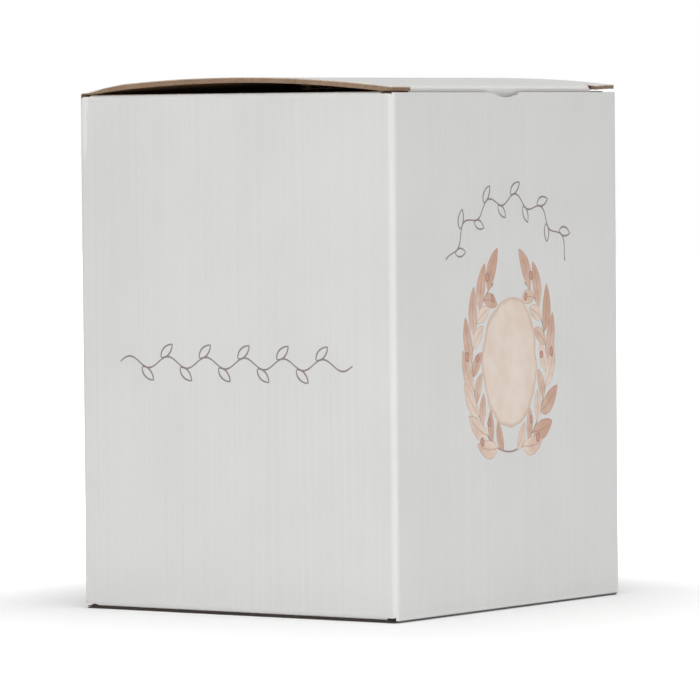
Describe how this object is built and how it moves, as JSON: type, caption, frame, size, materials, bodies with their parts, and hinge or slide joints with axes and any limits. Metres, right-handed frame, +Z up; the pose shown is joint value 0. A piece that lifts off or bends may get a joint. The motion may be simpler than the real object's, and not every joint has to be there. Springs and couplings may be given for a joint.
{
  "type": "tuck end carton",
  "caption": "Closed reverse tuck end carton of fine corrugated board, with creased lid, base, tuck flaps and dust flaps that open.",
  "frame": {"origin": "middle of the footprint, at the surface that the carton stands on", "axes": "+Z up through the lid, -Y out of the front panel, -X out of the left panel"},
  "size_m": [0.094, 0.089, 0.1236],
  "materials": {
    "printed_paper": "satin",
    "kraft_paper": "matte",
    "fluted_kraft": "matte",
    "glue": "satin"
  },
  "bodies": {
    "tube": {"front_panel_outer_liner": "printed_paper", "front_panel_flutes": "fluted_kraft", "front_panel_inner_liner": "kraft_paper", "left_panel_outer_liner": "printed_paper", "left_panel_flutes": "fluted_kraft", "left_panel_inner_liner": "kraft_paper", "back_panel_outer_liner": "printed_paper", "back_panel_flutes": "fluted_kraft", "back_panel_inner_liner": "kraft_paper", "right_panel_outer_liner": "printed_paper", "right_panel_flutes": "fluted_kraft", "right_panel_inner_liner": "kraft_paper", "glue_tab_outer_liner": "printed_paper", "glue_tab_flutes": "fluted_kraft", "glue_tab_inner_liner": "kraft_paper", "glue_line": "glue"},
    "lid": {"lid_panel_outer_liner": "printed_paper", "lid_panel_flutes": "fluted_kraft", "lid_panel_inner_liner": "kraft_paper"},
    "lid_tuck": {"lid_tuck_outer_liner": "printed_paper", "lid_tuck_flutes": "fluted_kraft", "lid_tuck_inner_liner": "kraft_paper"},
    "top_left_flap": {"top_left_dust_flap_outer_liner": "printed_paper", "top_left_dust_flap_flutes": "fluted_kraft", "top_left_dust_flap_inner_liner": "kraft_paper"},
    "top_right_flap": {"top_right_dust_flap_outer_liner": "printed_paper", "top_right_dust_flap_flutes": "fluted_kraft", "top_right_dust_flap_inner_liner": "kraft_paper"},
    "base": {"base_panel_outer_liner": "printed_paper", "base_panel_flutes": "fluted_kraft", "base_panel_inner_liner": "kraft_paper"},
    "base_tuck": {"base_tuck_outer_liner": "printed_paper", "base_tuck_flutes": "fluted_kraft", "base_tuck_inner_liner": "kraft_paper"},
    "bottom_left_flap": {"bottom_left_dust_flap_outer_liner": "printed_paper", "bottom_left_dust_flap_flutes": "fluted_kraft", "bottom_left_dust_flap_inner_liner": "kraft_paper"},
    "bottom_right_flap": {"bottom_right_dust_flap_outer_liner": "printed_paper", "bottom_right_dust_flap_flutes": "fluted_kraft", "bottom_right_dust_flap_inner_liner": "kraft_paper"}
  },
  "joints": [
    {"name": "lid_hinge", "type": "hinge", "parent": "tube", "child": "lid", "pos_m": [0, 0.04409, 0.12089], "axis": [-1, 0, 0], "range_deg": [0, 180]},
    {"name": "lid_tuck_crease", "type": "hinge", "parent": "lid", "child": "lid_tuck", "pos_m": [0, -0.0424, 0.12077], "axis": [-1, 0, 0], "range_deg": [0, 90]},
    {"name": "top_left_flap_crease", "type": "hinge", "parent": "tube", "child": "top_left_flap", "pos_m": [-0.04659, 0, 0.11959], "axis": [0, -1, 0], "range_deg": [0, 90]},
    {"name": "top_right_flap_crease", "type": "hinge", "parent": "tube", "child": "top_right_flap", "pos_m": [0.04659, 0, 0.11959], "axis": [0, 1, 0], "range_deg": [0, 90]},
    {"name": "base_hinge", "type": "hinge", "parent": "tube", "child": "base", "pos_m": [0, -0.04409, 0.00041], "axis": [-1, 0, 0], "range_deg": [0, 180]},
    {"name": "base_tuck_crease", "type": "hinge", "parent": "base", "child": "base_tuck", "pos_m": [0, 0.04235, 0.00047], "axis": [-1, 0, 0], "range_deg": [0, 90]},
    {"name": "bottom_left_flap_crease", "type": "hinge", "parent": "tube", "child": "bottom_left_flap", "pos_m": [-0.04659, 0, 0.00106], "axis": [0, 1, 0], "range_deg": [0, 90]},
    {"name": "bottom_right_flap_crease", "type": "hinge", "parent": "tube", "child": "bottom_right_flap", "pos_m": [0.04659, 0, 0.00106], "axis": [0, -1, 0], "range_deg": [0, 90]}
  ],
  "couplings": [
    {"joint": "lid_tuck_crease", "follows": "lid_hinge", "ratio": 0.5},
    {"joint": "top_left_flap_crease", "follows": "lid_hinge", "ratio": 0.5},
    {"joint": "top_right_flap_crease", "follows": "lid_hinge", "ratio": 0.5},
    {"joint": "base_tuck_crease", "follows": "base_hinge", "ratio": 0.5},
    {"joint": "bottom_left_flap_crease", "follows": "base_hinge", "ratio": 0.5},
    {"joint": "bottom_right_flap_crease", "follows": "base_hinge", "ratio": 0.5}
  ]
}
